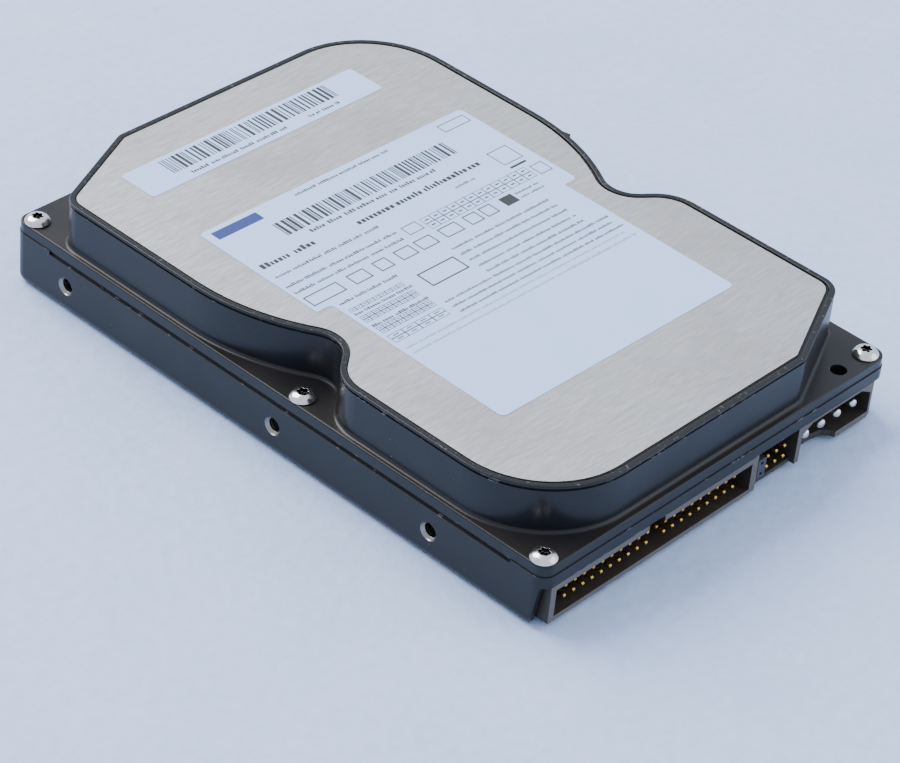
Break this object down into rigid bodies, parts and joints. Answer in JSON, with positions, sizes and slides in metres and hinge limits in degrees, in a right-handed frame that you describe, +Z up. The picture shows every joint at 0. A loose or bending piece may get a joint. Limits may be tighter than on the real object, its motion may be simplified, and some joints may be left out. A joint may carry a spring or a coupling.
{
  "type": "hard disk drive",
  "caption": "Flat box-shaped hard disk drive with a black cast body, a waisted raised lid with a brushed plate and label, and a pin connector block at one end.",
  "frame": {"origin": "under the middle of the drive, at the level of its bottom pads", "axes": "+Z up through the lid, +Y along the length away from the connectors, X across the width"},
  "size_m": [0.1016, 0.146, 0.0254],
  "materials": {
    "black_paint": "semi-gloss black enamel, chipped on the rim",
    "brushed_plate": "brushed across the width",
    "label": "satin printed paper film",
    "screw_steel": "bright nickel plated",
    "machined_steel": "turned and stamped steel",
    "machined_aluminium": "machined",
    "bronze": "sintered bronze",
    "laminations": "stacked laminations",
    "copper": "enamelled copper wire",
    "magnet": "nickel plated magnet",
    "disk_mirror": "polished platter",
    "soft_rubber": "matt rubber",
    "foam": "closed-cell foam",
    "ceramic": "dark ceramic",
    "chip_black": "moulded epoxy",
    "connector_plastic": "brown-black glass-filled nylon",
    "jumper_plastic": "moulded blue-grey plastic",
    "white_plastic": "moulded",
    "flex_film": "amber polyimide film",
    "filter_cloth": "felted filter cloth",
    "gold_pins": "gold plated",
    "tinned_pins": "tin plated",
    "board_green": "green solder mask",
    "crystal_can": "drawn can",
    "capacitor_yellow": "moulded"
  },
  "bodies": {
    "chassis": {"base_casting": "black_paint", "bearing_sleeve": "bronze", "board_insulator": "foam", "board_screws": "screw_steel", "breather_filter": "filter_cloth", "cache_chip": "chip_black", "chip_resistors": "chip_black", "circuit_board": "board_green", "connector_housing": "connector_plastic", "controller_chip": "chip_black", "cover_gasket": "foam", "cover_screws": "screw_steel", "crash_stops": "soft_rubber", "crystal": "crystal_can", "damping_plate": "brushed_plate", "deck_connector": "connector_plastic", "desiccant_pack": "filter_cloth", "flash_chip": "chip_black", "flex_bracket": "machined_steel", "flex_cable": "flex_film", "ide_pins": "gold_pins", "jumper_pins": "gold_pins", "latch_magnet": "magnet", "lower_magnet": "magnet", "lower_yoke": "machined_steel", "main_label": "label", "motor_base": "machined_steel", "motor_connector": "white_plastic", "motor_driver_chip": "chip_black", "motor_flex": "flex_film", "pivot_screw": "screw_steel", "pivot_shaft": "machined_steel", "power_pins": "tinned_pins", "recirculation_filter": "filter_cloth", "serial_label": "label", "stator_core": "laminations", "stator_windings": "copper", "tantalum_capacitors": "capacitor_yellow", "top_cover": "black_paint", "upper_magnet": "magnet", "upper_yoke": "machined_steel", "yoke_posts": "machined_steel", "yoke_screws": "screw_steel"},
    "spindle": {"spindle_hub": "machined_aluminium", "spindle_shaft": "machined_steel", "rotor_magnet": "magnet", "platter": "disk_mirror", "platter_spacer": "machined_aluminium", "disk_clamp": "machined_steel", "clamp_screws": "screw_steel"},
    "actuator": {"actuator_arm": "machined_aluminium", "pivot_bearings": "machined_steel", "pivot_sleeve": "machined_steel", "voice_coil": "copper", "preamp_chip": "chip_black", "head_springs": "machined_steel", "head_sliders": "ceramic"},
    "jumper": {"jumper_cap": "jumper_plastic"}
  },
  "joints": [
    {"name": "spindle_spin", "type": "hinge", "parent": "chassis", "child": "spindle", "pos_m": [-0.0005, 0.0219, 0.0096], "axis": [0, 0, 1], "continuous": true},
    {"name": "actuator_swing", "type": "hinge", "parent": "chassis", "child": "actuator", "pos_m": [-0.011, -0.0332, 0.0106], "axis": [0, 0, -1], "range_deg": [0, 29]},
    {"name": "jumper_pull", "type": "slide", "parent": "chassis", "child": "jumper", "axis": [0, -1, 0], "range_m": [0, 0.006]}
  ]
}
